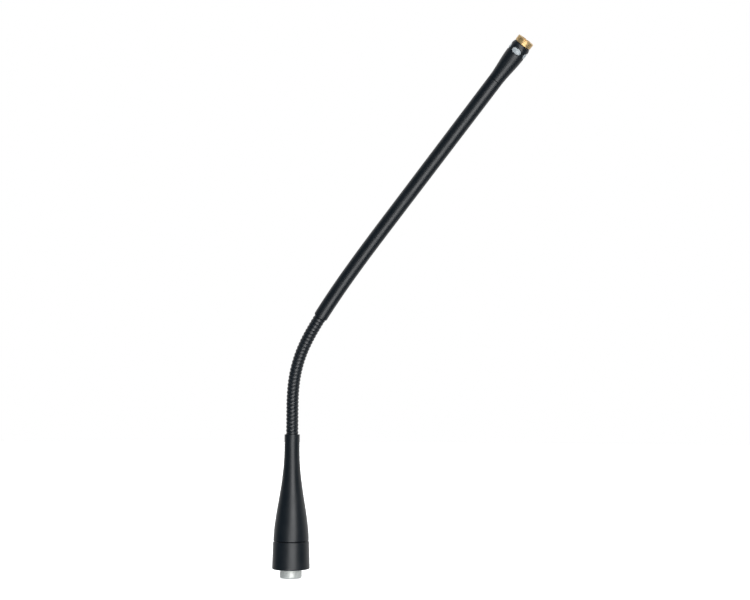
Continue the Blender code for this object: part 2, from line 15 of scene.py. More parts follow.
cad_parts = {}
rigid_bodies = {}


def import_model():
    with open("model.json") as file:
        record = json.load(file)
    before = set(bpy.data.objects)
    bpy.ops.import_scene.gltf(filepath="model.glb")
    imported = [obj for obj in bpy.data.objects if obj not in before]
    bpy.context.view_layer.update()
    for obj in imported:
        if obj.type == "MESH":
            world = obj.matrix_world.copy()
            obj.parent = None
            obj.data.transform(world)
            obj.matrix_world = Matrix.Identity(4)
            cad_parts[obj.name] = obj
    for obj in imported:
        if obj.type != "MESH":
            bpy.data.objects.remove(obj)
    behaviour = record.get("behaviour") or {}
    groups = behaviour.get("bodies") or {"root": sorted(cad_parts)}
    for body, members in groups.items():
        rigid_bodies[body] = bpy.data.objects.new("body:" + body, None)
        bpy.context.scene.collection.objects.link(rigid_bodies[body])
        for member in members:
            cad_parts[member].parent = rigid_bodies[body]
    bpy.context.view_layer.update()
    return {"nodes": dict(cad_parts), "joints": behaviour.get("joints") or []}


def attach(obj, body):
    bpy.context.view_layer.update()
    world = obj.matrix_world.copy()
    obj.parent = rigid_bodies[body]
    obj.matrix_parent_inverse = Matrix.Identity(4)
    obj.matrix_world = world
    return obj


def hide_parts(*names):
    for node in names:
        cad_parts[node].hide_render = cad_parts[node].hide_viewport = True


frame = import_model()

MM = 0.001

# Centreline of the neck, by distance along it from the seating face
TOTAL_LENGTH = 300.0
BEND_START = 78.0
BEND_END = 127.0
BEND_ANGLE = 37.0
SWEEP_START = 120.5
SWEEP_LENGTH = 75.0
SWEEP_ANGLE = 7.6
CENTRELINE_STEP = 0.05

# Base
PLUG_DEPTH = 4.4
PLUG_RADIUS = 5.5
PLUG_INNER_RADIUS = 4.6
PLUG_STEM_RADIUS = 5.0
PLUG_SHOULDER = 1.6
PLUG_TOP = 9.5
PLUG_CHAMFER = 0.5
PLUG_CHAMFER_TOP = 0.75 - PLUG_DEPTH
PLUG_GROOVE_RADIUS = PLUG_RADIUS - 0.22
PLUG_GROOVE_TOP = -0.7
PLUG_GROOVE_BOTTOM = -1.0
PLUG_GROOVE_SLOPE = 0.15
INSULATOR_RADIUS = PLUG_INNER_RADIUS - 0.3
INSULATOR_TOP = 8.5
INSULATOR_FACE = -0.8
INSULATOR_GROOVE_FLOOR = INSULATOR_FACE + 0.25
PIN_COUNT = 5
PIN_RADIUS = 0.5
PIN_CIRCLE_RADIUS = 2.8
PIN_HOLE_CLEARANCE = 0.2
PIN_TOP = 11.5
PIN_TIP = 0.45 - PLUG_DEPTH
RING_HEIGHT = 13.6
RING_BOTTOM_RADIUS = 9.5
RING_TOP_RADIUS = 9.04
RING_THREAD_RADIUS = 7.0
RING_THREAD_HEIGHT = 5.6
RING_THREAD_PITCH = 1.0
RING_THREAD_DEPTH = 0.42
RING_BORE_RADIUS = 6.6
RING_SEAL_HEIGHT = 11.8
RING_SEAL_RADIUS = 7.4
SPIGOT_RADIUS = 6.3
SPIGOT_BORE_RADIUS = 5.3
SPIGOT_BORE_TOP = 14.0
SPIGOT_BOTTOM = 2.0
SNAP_GROOVE_RADIUS = 5.85
SNAP_GROOVE_BOTTOM = 4.6
SNAP_GROOVE_TOP = 5.5
CONE_BOTTOM = 14.0
CONE_TOP = 67.1
CONE_BOTTOM_RADIUS = 8.93
CONE_TOP_RADIUS = 3.86
CONE_NECK_HEIGHT = 60.2
CONE_SKEW = 0.86
CONE_BORE_RADIUS = 3.4
CAVITY_RADIUS = 6.3
CAVITY_BOTTOM = 15.0
CAVITY_TOP = 24.0
CAVITY_NECK_RADIUS = 4.7
CAVITY_NECK_HEIGHT = 32.9
FERRULE_POCKET_RADIUS = 4.3
FERRULE_POCKET_BOTTOM = 33.2
FERRULE_POCKET_TOP = 41.0
SET_SCREW_HEIGHT = 38.0
SET_SCREW_DIRECTION = Vector((-0.5, math.sqrt(0.75), 0.0))
SET_SCREW_HOLE_RADIUS = 1.1
SET_SCREW_HOLE_DEPTH = 4.1
SET_SCREW_HOLE_MIDDLE = 5.95

# Flexible neck
COIL_PITCH = 1.92
COIL_CREST_RADIUS = 3.13
COIL_START = 36.0
COIL_END = 138.7
COIL_END_CLEARANCE = 1.0
COIL_TURN_SHIFT = -0.35
COIL_SEGMENTS = 36
WIRE_RADIUS = 0.62
WIRE_HALF_WIDTH = 0.92
FILLER_RADIUS = 2.9
FILLER_INNER_RADIUS = 1.95
CABLE_RADIUS = 1.2
CABLE_START = 22.0
CABLE_END = 281.0

# Stem and head; head sizes are heights above the seam between tube and head
TUBE_START = 130.6
TUBE_RADIUS = 3.57
TUBE_WALL = 0.3
HEAD_SEAM = 277.1
HEAD_RADIUS = 4.5
HEAD_FLARE_END = 14.5
HEAD_SHOULDER = 18.7
HEAD_TOP = 20.0
HEAD_TOP_RADIUS = 4.08
HEAD_BORE_RADIUS = 3.7
HEAD_BORE_BOTTOM = 11.4
HEAD_BORE_TOP = 18.6
HEAD_MOUTH_RADIUS = 3.2
HEAD_STUB_RADIUS = 2.87
HEAD_STUB_BOTTOM = -5.0
HEAD_CABLE_BORE_RADIUS = 1.9
HEAD_CABLE_BORE_TOP = 3.0
HEAD_FUNNEL_RADIUS = 3.4
HEAD_FUNNEL_TOP = 10.5
SEAM_GAP = 0.15
WINDOW_COUNT = 4
WINDOW_HEIGHT = 16.45
WINDOW_HALF_WIDTH = 2.33
WINDOW_HALF_HEIGHT = 1.4
WINDOW_RIM = 0.3
FIRST_WINDOW_ANGLE = -63.0
GUIDE_RADIUS = 3.4
GUIDE_BORE_RADIUS = 2.7
GUIDE_BOTTOM = 13.9
GUIDE_TOP = 18.2
LENS_CLEARANCE = 0.2
LENS_EDGE_RADIUS = HEAD_RADIUS - 0.12
LENS_DOME = 0.22
COLLAR_RADIUS = 4.14
COLLAR_BOTTOM = 20.3
COLLAR_TOP = TOTAL_LENGTH - HEAD_SEAM
COLLAR_BORE_RADIUS = 2.4
COLLAR_STEM_RADIUS = 2.9
COLLAR_THREAD_START = 20.6
COLLAR_THREAD_PITCH = 0.5
COLLAR_THREAD_DEPTH = 0.07
NOTCH_ANGLES = (-62.0, 118.0)
NOTCH_RADIUS = 3.7
NOTCH_SIZE = Vector((2.6, 1.2, 1.1))
CONTACT_INSULATOR_RADIUS = 2.1
CONTACT_INSULATOR_BORE_RADIUS = 1.25
CONTACT_INSULATOR_BOTTOM = 14.5
CONTACT_INSULATOR_TOP = 21.6
CONTACT_RADIUS = 0.5
CONTACT_BOTTOM = 18.4
CONTACT_TOP = 22.4

ROUND_SEGMENTS = 128
SHARP_ANGLE = 38.0


# ---------------------------------------------------------------- centreline map

def smooth_ramp(value, low, high):
    """0 below low, 1 above high, and a smooth rise between."""
    t = np.clip((value - low) / (high - low), 0.0, 1.0)
    return t * t * (3.0 - 2.0 * t)


def lean_at(distance):
    """The centreline's lean from +Z towards +X, in radians."""
    sweep = np.clip((distance - SWEEP_START) / SWEEP_LENGTH, 0.0, 1.0)
    bend = BEND_ANGLE * smooth_ramp(distance, BEND_START, BEND_END)
    return np.radians(bend + SWEEP_ANGLE * (1.0 - (1.0 - sweep) ** 2))


STATIONS = np.arange(0.0, TOTAL_LENGTH + CENTRELINE_STEP, CENTRELINE_STEP)
MIDDLE_LEANS = lean_at(STATIONS[:-1] + CENTRELINE_STEP / 2.0)
STATION_X = np.concatenate([[0.0], np.cumsum(np.sin(MIDDLE_LEANS)) * CENTRELINE_STEP])
STATION_Z = np.concatenate([[0.0], np.cumsum(np.cos(MIDDLE_LEANS)) * CENTRELINE_STEP])


def carried(radius, distance, angle):
    """Points in metres at a radius and an angle about the centreline, angle 0 towards its outside."""
    radius, distance, angle = np.broadcast_arrays(radius, distance, angle)
    inside = np.clip(distance, 0.0, TOTAL_LENGTH)
    beyond = distance - inside
    lean = lean_at(inside)
    across = radius * np.cos(angle)
    x = np.interp(inside, STATIONS, STATION_X) + beyond * np.sin(lean) + across * np.cos(lean)
    z = np.interp(inside, STATIONS, STATION_Z) + beyond * np.cos(lean) - across * np.sin(lean)
    return np.stack([x, radius * np.sin(angle), z], axis=-1) * MM


# ---------------------------------------------------------------- mesh making

def finish_mesh(name, points, faces, material, sharp_angle=SHARP_ANGLE):
    """An object from points and faces, with its doubles merged and its faces pointing out."""
    mesh = bpy.data.meshes.new(name)
    shape = bmesh.new()
    corners = [shape.verts.new(point) for point in points]
    for face in faces:
        shape.faces.new([corners[i] for i in face])
    bmesh.ops.remove_doubles(shape, verts=shape.verts, dist=1e-7)
    bmesh.ops.recalc_face_normals(shape, faces=shape.faces)
    shape.to_mesh(mesh)
    shape.free()
    mesh.shade_smooth()
    mesh.set_sharp_from_angle(angle=math.radians(sharp_angle))
    mesh.materials.append(material)
    made = bpy.data.objects.new(name, mesh)
    bpy.context.scene.collection.objects.link(made)
    return made


def filleted(corners, steps=5):
    """A closed profile with each (radius, height, fillet) corner rounded by a small arc."""
    points = []
    for i, (radius, height, fillet) in enumerate(corners):
        corner = Vector((radius, height))
        if fillet <= 0.0:
            points.append(corner)
            continue
        start = corner + (Vector(corners[i - 1][:2]) - corner).normalized() * fillet
        end = corner + (Vector(corners[(i + 1) % len(corners)][:2]) - corner).normalized() * fillet
        for k in range(steps + 1):
            t = k / steps
            points.append(start * (1 - t) ** 2 + corner * 2 * t * (1 - t) + end * t * t)
    return points


def densified(points, longest):
    """The closed profile with its long straight stretches divided."""
    dense = []
    for i, point in enumerate(points):
        after = points[(i + 1) % len(points)]
        count = max(1, math.ceil((after - point).length / longest))
        dense += [point.lerp(after, k / count) for k in range(count)]
    return dense


def ring_faces(rows, columns, close_rows=True):
    """Quads of a grid that is closed along its columns and, if asked, along its rows."""
    faces = []
    for i in range(rows if close_rows else rows - 1):
        below = i * columns
        above = (i + 1) % rows * columns
        for j in range(columns):
            k = (j + 1) % columns
            faces.append((below + j, below + k, above + k, above + j))
    return faces


def turned(name, profile, material, segments=ROUND_SEGMENTS, base=0.0, relief=None):
    """Turn a closed (radius, height) profile about the centreline, heights counted from base.
    relief(radius, height, angle) may change the radius, as a thread does."""
    points = np.array([(p[0], p[1]) for p in profile])
    angles = np.arange(segments) * 2.0 * math.pi / segments
    radius = np.repeat(points[:, :1], segments, axis=1)
    height = np.repeat(points[:, 1:], segments, axis=1)
    angle = np.repeat(angles[None, :], len(points), axis=0)
    if relief is not None:
        radius = relief(radius, height, angle)
    grid = carried(radius, height + base, angle).reshape(-1, 3)
    faces = ring_faces(len(points), segments)
    on_axis = points[:, 0] <= 0.0
    if on_axis.any():
        return turned_solid(name, grid, faces, on_axis, segments, material)
    return finish_mesh(name, grid, faces, material)


def turned_solid(name, grid, faces, on_axis, segments, material):
    """A turned piece whose profile touches the axis: its centre rows shrink to single points."""
    rows = len(on_axis)
    kept = []
    for face in faces:
        row = face[0] // segments
        if on_axis[row] and on_axis[(row + 1) % rows]:
            continue
        corners = [i - i % segments if on_axis[i // segments] else i for i in face]
        kept.append(tuple(dict.fromkeys(corners)))
    used = sorted({i for face in kept for i in face})
    order = {old: new for new, old in enumerate(used)}
    return finish_mesh(name, grid[used], [tuple(order[i] for i in face) for face in kept], material)


def thread(pitch, depth, low, high, fade, surface_radius, band=0.35):
    """A relief that cuts a helical groove between two heights into one cylindrical surface."""
    def relief(radius, height, angle):
        phase = (height / pitch - angle / (2.0 * math.pi)) % 1.0
        groove = 0.5 + 0.5 * np.cos(2.0 * math.pi * phase)
        inside = smooth_ramp(height, low, low + fade) * (1.0 - smooth_ramp(height, high - fade, high))
        near = np.abs(radius - surface_radius) < band
        return radius - np.where(near, depth * groove ** 0.8 * inside, 0.0)
    return relief


def wound(section, start, end, radius, phase):
    """Points and faces of a wire wound round the centreline at the coil's pitch, its ends capped.
    section is a loop of (radial, axial) offsets; start and end are distances of the wire's centre."""
    turns = (end - start) / COIL_PITCH
    steps = max(2, round(turns * COIL_SEGMENTS))
    distance = start + (end - start) * np.arange(steps + 1) / steps
    angle = 2.0 * math.pi * distance / COIL_PITCH + phase
    loop = np.array(section)
    points = carried(radius + loop[None, :, 0], distance[:, None] + loop[None, :, 1], angle[:, None])
    faces = ring_faces(steps + 1, len(loop), close_rows=False)
    last = steps * len(loop)
    faces.append(tuple(range(len(loop))))
    faces.append(tuple(last + i for i in range(len(loop))))
    return points.reshape(-1, 3), faces


def joined(first, second):
    """Two point and face lists as one."""
    shift = len(first[0])
    moved = [tuple(i + shift for i in face) for face in second[1]]
    return np.concatenate([first[0], second[0]]), list(first[1]) + moved


def cut(target, tool, operation="DIFFERENCE"):
    """Apply an exact Boolean and remove the tool."""
    modifier = target.modifiers.new("cut", "BOOLEAN")
    modifier.operation = operation
    modifier.solver = "EXACT"
    modifier.object = tool
    graph = bpy.context.evaluated_depsgraph_get()
    mesh = bpy.data.meshes.new_from_object(target.evaluated_get(graph))
    target.modifiers.clear()
    target.data = mesh
    mesh.shade_smooth()
    mesh.set_sharp_from_angle(angle=math.radians(SHARP_ANGLE))
    bpy.data.objects.remove(tool, do_unlink=True)


def own(piece, body, slot_name, *nodes):
    """Ride a piece on its body and hide the nodes that it stands for; slot_name is not used."""
    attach(piece, body)
    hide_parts(*nodes)
    return piece


# ---------------------------------------------------------------- materials

class Shader:
    """A small helper round one material's node tree."""

    def __init__(self, name):
        self.material = bpy.data.materials.new(name)
        self.material.use_nodes = True
        self.tree = self.material.node_tree
        self.principled = self.tree.nodes["Principled BSDF"]

    def node(self, kind, **settings):
        made = self.tree.nodes.new(kind)
        for key, value in settings.items():
            setattr(made, key, value)
        return made

    def link(self, source, target):
        self.tree.links.new(source, target)

    def coordinates(self, stretch=(1.0, 1.0, 1.0), lean=0.0):
        """Object coordinates in metres, turned by a lean about Y and stretched."""
        coordinate = self.node("ShaderNodeTexCoord")
        turn = self.node("ShaderNodeMapping", vector_type="POINT")
        turn.inputs["Rotation"].default_value = (0.0, -lean, 0.0)
        scale = self.node("ShaderNodeMapping", vector_type="POINT")
        scale.inputs["Scale"].default_value = stretch
        self.link(coordinate.outputs["Object"], turn.inputs["Vector"])
        self.link(turn.outputs["Vector"], scale.inputs["Vector"])
        return scale.outputs["Vector"]

    def noise(self, vector, scale, detail=3.0, roughness=0.55):
        made = self.node("ShaderNodeTexNoise")
        made.inputs["Scale"].default_value = scale
        made.inputs["Detail"].default_value = detail
        made.inputs["Roughness"].default_value = roughness
        self.link(vector, made.inputs["Vector"])
        return made.outputs["Fac"]

    def ranged(self, value, low, high, from_low=0.3, from_high=0.7):
        made = self.node("ShaderNodeMapRange")
        made.inputs["From Min"].default_value = from_low
        made.inputs["From Max"].default_value = from_high
        made.inputs["To Min"].default_value = low
        made.inputs["To Max"].default_value = high
        self.link(value, made.inputs["Value"])
        return made.outputs["Result"]

    def mixed(self, factor, first, second):
        made = self.node("ShaderNodeMix", data_type="RGBA")
        self.link(factor, made.inputs["Factor"])
        for name, colour in (("A", first), ("B", second)):
            socket = next(s for s in made.inputs if s.name == name and s.type == "RGBA")
            if isinstance(colour, bpy.types.NodeSocket):
                self.link(colour, socket)
            else:
                socket.default_value = (*colour, 1.0)
        return next(s for s in made.outputs if s.type == "RGBA")

    def bump(self, height, distance, strength=1.0):
        made = self.node("ShaderNodeBump")
        made.inputs["Strength"].default_value = strength
        made.inputs["Distance"].default_value = distance
        self.link(height, made.inputs["Height"])
        self.link(made.outputs["Normal"], self.principled.inputs["Normal"])

    def set(self, **values):
        for key, value in values.items():
            self.principled.inputs[key.replace("_", " ")].default_value = value


def coated(name, dark, light, roughness, grain_metres, grain_depth, specular=0.5):
    """A semi-gloss painted coat: fine orange peel, soft mottling and a slightly uneven sheen."""
    shader = Shader(name)
    place = shader.coordinates()
    mottle = shader.noise(place, 1.0 / 0.006, 4.0)
    peel = shader.noise(place, 1.0 / grain_metres, 2.0)
    dust = shader.noise(place, 1.0 / 0.0011, 2.0, 0.7)
    tone = shader.mixed(shader.ranged(mottle, 0.0, 1.0), dark, light)
    speck = shader.ranged(dust, 0.0, 0.35, 0.68, 0.78)
    pale = tuple(min(1.0, c * 3.0 + 0.01) for c in light)
    shader.link(shader.mixed(speck, tone, pale), shader.principled.inputs["Base Color"])
    uneven = shader.ranged(mottle, roughness - 0.035, roughness + 0.045)
    shader.link(uneven, shader.principled.inputs["Roughness"])
    shader.bump(peel, grain_depth)
    shader.set(Specular_IOR_Level=specular)
    return shader.material


def machined(name, colour, tarnish, roughness, metallic, lean=0.0, ring_metres=0.00025, depth=0.000004):
    """Turned metal: fine tool rings about the axis and a little tarnish."""
    shader = Shader(name)
    rings = shader.noise(shader.coordinates((60.0, 60.0, 1.0 / ring_metres), lean), 1.0, 2.0)
    spots = shader.noise(shader.coordinates(), 1.0 / 0.0014, 4.0, 0.65)
    worn = shader.mixed(shader.ranged(spots, 0.0, 0.85, 0.42, 0.72), colour, tarnish)
    shader.link(worn, shader.principled.inputs["Base Color"])
    shader.link(shader.ranged(rings, roughness - 0.06, roughness + 0.08),
                shader.principled.inputs["Roughness"])
    shader.bump(rings, depth)
    shader.set(Metallic=metallic)
    return shader.material


def moulded(name, colour, second, roughness, subsurface=0.0):
    """Moulded plastic or rubber: a faint spark-eroded grain and mottled colour."""
    shader = Shader(name)
    place = shader.coordinates()
    cloud = shader.noise(place, 1.0 / 0.003, 3.0)
    grain = shader.noise(place, 1.0 / 0.00018, 2.0)
    shader.link(shader.mixed(shader.ranged(cloud, 0.0, 1.0), colour, second),
                shader.principled.inputs["Base Color"])
    shader.link(shader.ranged(grain, roughness - 0.05, roughness + 0.05),
                shader.principled.inputs["Roughness"])
    shader.bump(grain, 0.000006)
    if subsurface > 0.0:
        shader.set(Subsurface_Weight=subsurface, Subsurface_Scale=0.001)
    return shader.material


def frosted_lens(name):
    """Pale diffusing plastic with painted shade: faint random dark spots in its colour stand in for the
    lamp seen darkly through it.
    """
    shader = Shader(name)
    place = shader.coordinates()
    cloud = shader.noise(place, 1.0 / 0.0011, 3.0)
    spots = shader.noise(place, 1.0 / 0.0006, 1.0, 0.4)
    pale = shader.mixed(shader.ranged(cloud, 0.0, 1.0), (0.31, 0.34, 0.355), (0.40, 0.42, 0.42))
    # painted shade: dark noise spots mixed into the lens colour for the lamp's shade showing through
    lens_with_painted_shade = shader.mixed(shader.ranged(spots, 0.0, 0.6, 0.60, 0.72), pale, (0.17, 0.19, 0.20))
    shader.link(lens_with_painted_shade, shader.principled.inputs["Base Color"])
    shader.link(shader.ranged(cloud, 0.28, 0.40), shader.principled.inputs["Roughness"])
    shader.bump(cloud, 0.00001)
    return shader.material


def circuit_board(name):
    """Green solder resist with a faint pattern of copper runs under it."""
    shader = Shader(name)
    place = shader.coordinates()
    run = shader.node("ShaderNodeTexBrick")
    run.inputs["Scale"].default_value = 700.0
    run.inputs["Color1"].default_value = (0.012, 0.10, 0.035, 1.0)
    run.inputs["Color2"].default_value = (0.020, 0.13, 0.050, 1.0)
    run.inputs["Mortar"].default_value = (0.035, 0.19, 0.085, 1.0)
    shader.link(place, run.inputs["Vector"])
    shader.link(run.outputs["Color"], shader.principled.inputs["Base Color"])
    grain = shader.noise(place, 1.0 / 0.0005)
    shader.link(shader.ranged(grain, 0.28, 0.42), shader.principled.inputs["Roughness"])
    shader.bump(grain, 0.00001)
    return shader.material


HEAD_LEAN = float(lean_at(HEAD_SEAM))
BLACK_COAT = coated("black_coat_look", (0.0028, 0.0042, 0.0056), (0.0042, 0.0056, 0.0070), 0.39,
                    0.00022, 0.000004)
BLACK_COIL = coated("black_coil_look", (0.0036, 0.0050, 0.0064), (0.0056, 0.0070, 0.0084), 0.38,
                    0.00016, 0.000003, 0.6)
NICKEL = machined("nickel_look", (0.52, 0.53, 0.50), (0.36, 0.37, 0.35), 0.42, 0.35)
GOLD = machined("gold_brass_look", (0.62, 0.42, 0.19), (0.50, 0.33, 0.145), 0.40, 0.80, HEAD_LEAN,
                0.0002, 0.000002)
PIN_GOLD = machined("pin_gold_look", (0.90, 0.66, 0.30), (0.62, 0.42, 0.18), 0.28, 1.0)
STEEL = machined("steel_look", (0.56, 0.56, 0.57), (0.34, 0.34, 0.35), 0.34, 1.0)
RUBBER = moulded("rubber_look", (0.012, 0.012, 0.012), (0.022, 0.022, 0.022), 0.75)
DARK_PLASTIC = moulded("dark_plastic_look", (0.018, 0.019, 0.021), (0.028, 0.029, 0.031), 0.48)
PALE_PLASTIC = moulded("pale_plastic_look", (0.70, 0.68, 0.61), (0.78, 0.76, 0.70), 0.42, 0.2)
FROSTED = frosted_lens("frosted_look")
BOARD = circuit_board("board_green_look")
CABLE = moulded("cable_grey_look", (0.07, 0.07, 0.075), (0.10, 0.10, 0.105), 0.5)
LAMP = moulded("lamp_white_look", (0.80, 0.76, 0.60), (0.86, 0.83, 0.70), 0.3, 0.3)


# ---------------------------------------------------------------- base

def cone_radius(height):
    """The base cone's outer radius: a slightly skewed cosine from its rim to its neck."""
    t = min(max((height - CONE_BOTTOM) / (CONE_NECK_HEIGHT - CONE_BOTTOM), 0.0), 1.0)
    fall = (1.0 + math.cos(math.pi * t ** CONE_SKEW)) / 2.0
    return CONE_TOP_RADIUS + (CONE_BOTTOM_RADIUS - CONE_TOP_RADIUS) * fall


def make_base_cone():
    """The bottle-shaped housing, with softened rims and its set screw hole."""
    corners = [(CONE_TOP_RADIUS, CONE_TOP, 0.3)]
    count = 60
    for i in range(1, count):
        height = CONE_TOP - (CONE_TOP - CONE_BOTTOM) * i / count
        corners.append((cone_radius(height), height, 0.0))
    corners += [
        (CONE_BOTTOM_RADIUS, CONE_BOTTOM, 0.22), (SPIGOT_RADIUS, CONE_BOTTOM, 0.1),
        (SPIGOT_RADIUS, SNAP_GROOVE_TOP, 0.05), (SNAP_GROOVE_RADIUS, SNAP_GROOVE_TOP, 0.05),
        (SNAP_GROOVE_RADIUS, SNAP_GROOVE_BOTTOM, 0.05), (SPIGOT_RADIUS, SNAP_GROOVE_BOTTOM, 0.05),
        (SPIGOT_RADIUS, SPIGOT_BOTTOM, 0.15), (SPIGOT_BORE_RADIUS, SPIGOT_BOTTOM, 0.1),
        (SPIGOT_BORE_RADIUS, SPIGOT_BORE_TOP, 0.1), (CAVITY_RADIUS, CAVITY_BOTTOM, 0.1),
        (CAVITY_RADIUS, CAVITY_TOP, 0.2), (CAVITY_NECK_RADIUS, CAVITY_NECK_HEIGHT, 0.2),
        (FERRULE_POCKET_RADIUS, FERRULE_POCKET_BOTTOM, 0.1),
        (FERRULE_POCKET_RADIUS, FERRULE_POCKET_TOP, 0.1), (CONE_BORE_RADIUS, FERRULE_POCKET_TOP, 0.1),
        (CONE_BORE_RADIUS, CONE_TOP, 0.15),
    ]
    shell = turned("base_cone_shell", filleted(corners), BLACK_COAT)
    middle = Vector((0.0, 0.0, SET_SCREW_HEIGHT)) + SET_SCREW_DIRECTION * SET_SCREW_HOLE_MIDDLE
    bpy.ops.mesh.primitive_cylinder_add(vertices=40, radius=SET_SCREW_HOLE_RADIUS * MM,
                                        depth=SET_SCREW_HOLE_DEPTH * MM, location=middle * MM)
    tool = bpy.context.object
    tool.rotation_euler = SET_SCREW_DIRECTION.to_track_quat("Z", "Y").to_euler()
    bpy.context.view_layer.update()
    cut(shell, tool)
    return own(shell, "base", "black_coat", "base_cone")


def make_locking_ring():
    """The ring: a smooth tapered skin, rounded rims and a real thread in its mouth."""
    corners = [
        (RING_TOP_RADIUS, RING_HEIGHT, 0.22), (RING_BOTTOM_RADIUS, 0.0, 0.95),
        (RING_THREAD_RADIUS, 0.0, 0.3), (RING_THREAD_RADIUS, RING_THREAD_HEIGHT, 0.05),
        (RING_BORE_RADIUS, RING_THREAD_HEIGHT, 0.1), (RING_BORE_RADIUS, RING_SEAL_HEIGHT, 0.05),
        (RING_SEAL_RADIUS, RING_SEAL_HEIGHT, 0.05), (RING_SEAL_RADIUS, RING_HEIGHT, 0.15),
    ]
    profile = densified(filleted(corners, 8), 0.22)
    cut_thread = thread(RING_THREAD_PITCH, -RING_THREAD_DEPTH, 0.4, RING_THREAD_HEIGHT - 0.1, 0.4,
                        RING_THREAD_RADIUS, 0.05)
    shell = turned("locking_ring_shell", profile, BLACK_COAT, relief=cut_thread)
    return own(shell, "ring", "black_coat", "locking_ring")


def make_plug():
    """The plated sleeve with its groove and chamfer, the grooved insulator and the pins."""
    sleeve = turned("plug_sleeve_shell", filleted([
        (PLUG_STEM_RADIUS, PLUG_TOP, 0.15), (PLUG_STEM_RADIUS, PLUG_SHOULDER, 0.1),
        (PLUG_RADIUS, PLUG_SHOULDER, 0.12), (PLUG_RADIUS, PLUG_GROOVE_TOP + PLUG_GROOVE_SLOPE, 0.1),
        (PLUG_GROOVE_RADIUS, PLUG_GROOVE_TOP, 0.06), (PLUG_GROOVE_RADIUS, PLUG_GROOVE_BOTTOM, 0.06),
        (PLUG_RADIUS, PLUG_GROOVE_BOTTOM - PLUG_GROOVE_SLOPE, 0.1),
        (PLUG_RADIUS, PLUG_CHAMFER_TOP, 0.2), (PLUG_RADIUS - PLUG_CHAMFER, -PLUG_DEPTH, 0.22),
        (PLUG_INNER_RADIUS, -PLUG_DEPTH, 0.12), (PLUG_INNER_RADIUS, PLUG_TOP, 0.15),
    ]), NICKEL)
    own(sleeve, "base", "nickel", "plug_sleeve")

    insulator = turned("plug_insulator_body", filleted([
        (INSULATOR_RADIUS, INSULATOR_TOP, 0.1), (INSULATOR_RADIUS, INSULATOR_FACE, 0.25),
        (INSULATOR_RADIUS - 0.7, INSULATOR_FACE, 0.05),
        (INSULATOR_RADIUS - 0.75, INSULATOR_GROOVE_FLOOR, 0.05),
        (INSULATOR_RADIUS - 0.95, INSULATOR_GROOVE_FLOOR, 0.05),
        (INSULATOR_RADIUS - 1.0, INSULATOR_FACE, 0.05), (0.0, INSULATOR_FACE, 0.0),
        (0.0, INSULATOR_TOP, 0.0),
    ], 3), DARK_PLASTIC, 96)
    for i in range(PIN_COUNT):
        angle = math.radians(90.0 + 360.0 * (i + 0.5) / PIN_COUNT)
        spot = Vector((math.cos(angle), math.sin(angle), 0.0)) * PIN_CIRCLE_RADIUS
        hole_radius = PIN_RADIUS + PIN_HOLE_CLEARANCE
        bpy.ops.mesh.primitive_cylinder_add(vertices=28, radius=hole_radius * MM, depth=16.0 * MM,
                                            location=spot * MM)
        cut(insulator, bpy.context.object)
        pin = turned(f"contact_pin_{i + 1}_turned", filleted([
            (0.0, PIN_TOP, 0.0), (PIN_RADIUS, PIN_TOP, 0.12), (PIN_RADIUS, PIN_TIP, 0.42),
            (0.0, PIN_TIP, 0.0),
        ], 6), PIN_GOLD, 32)
        pin.data.transform(Matrix.Translation(spot * MM))
        own(pin, "base", "gold_brass", f"contact_pin_{i + 1}")
    own(insulator, "base", "dark_plastic", "plug_insulator")


# ---------------------------------------------------------------- flexible neck

def neck_chain():
    """Bodies from the base to the stem, and each hinge's distance along the centreline."""
    hinges = {j["parent"]: j for j in frame["joints"] if j["name"].startswith("neck_")}
    chain = ["base"]
    places = []
    while chain[-1] in hinges:
        hinge = hinges[chain[-1]]
        spot = np.array([hinge["pos_m"][0], hinge["pos_m"][2]]) / MM
        off = np.hypot(STATION_X - spot[0], STATION_Z - spot[1])
        places.append(float(STATIONS[off.argmin()]))
        chain.append(hinge["child"])
    return chain, places


def coil_length(name, start, end):
    """A length of coil: a flattened wire wound right-handed with a wedge wire in its groove."""
    rolled_wire = [(WIRE_RADIUS * math.cos(a), WIRE_HALF_WIDTH * math.sin(a))
                   for a in np.arange(16) * 2.0 * math.pi / 16]
    top = FILLER_RADIUS - FILLER_INNER_RADIUS
    wedge = [(0.0, -0.5), (top * 0.55, -0.3), (top, -0.12), (top + 0.02, 0.0), (top, 0.12),
             (top * 0.55, 0.3), (0.0, 0.5)]
    phase = 2.0 * math.pi * COIL_TURN_SHIFT
    wire = wound(rolled_wire, start, end, COIL_CREST_RADIUS - WIRE_RADIUS, phase)
    wedge_wire = wound(wedge, start, end, FILLER_INNER_RADIUS, phase + math.pi)
    points, faces = joined(wire, wedge_wire)
    coil = finish_mesh(name, points, faces, BLACK_COIL, 50.0)
    return coil


def cable_length(name, start, end):
    """A length of the signal cable."""
    count = max(4, round(end - start))
    skin = [(CABLE_RADIUS, start + (end - start) * i / count) for i in range(count + 1)]
    cable = turned(name, [(0.0, start)] + skin + [(0.0, end)], CABLE, 20)
    return cable


def make_neck():
    """The coil and its cable, in lengths that meet at the hinges and ride on the body between."""
    chain, places = neck_chain()
    for k, body in enumerate(chain):
        first, last = k == 0, k == len(chain) - 1
        low = COIL_START + COIL_END_CLEARANCE if first else places[k - 1]
        high = COIL_END - COIL_END_CLEARANCE if last else places[k]
        coil = coil_length(f"neck_coil_wound_{k:02d}", low, high)
        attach(coil, body)
        nodes = ["neck_coil_root"] if first else ["neck_coil_tip"] if last else [f"neck_coil_{k:02d}"]
        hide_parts(*nodes)
        cable = cable_length(f"signal_cable_{k:02d}", CABLE_START if first else low,
                             CABLE_END if last else high)
        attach(cable, body)
        if first:
            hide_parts("signal_cable")


# ---------------------------------------------------------------- stem and head

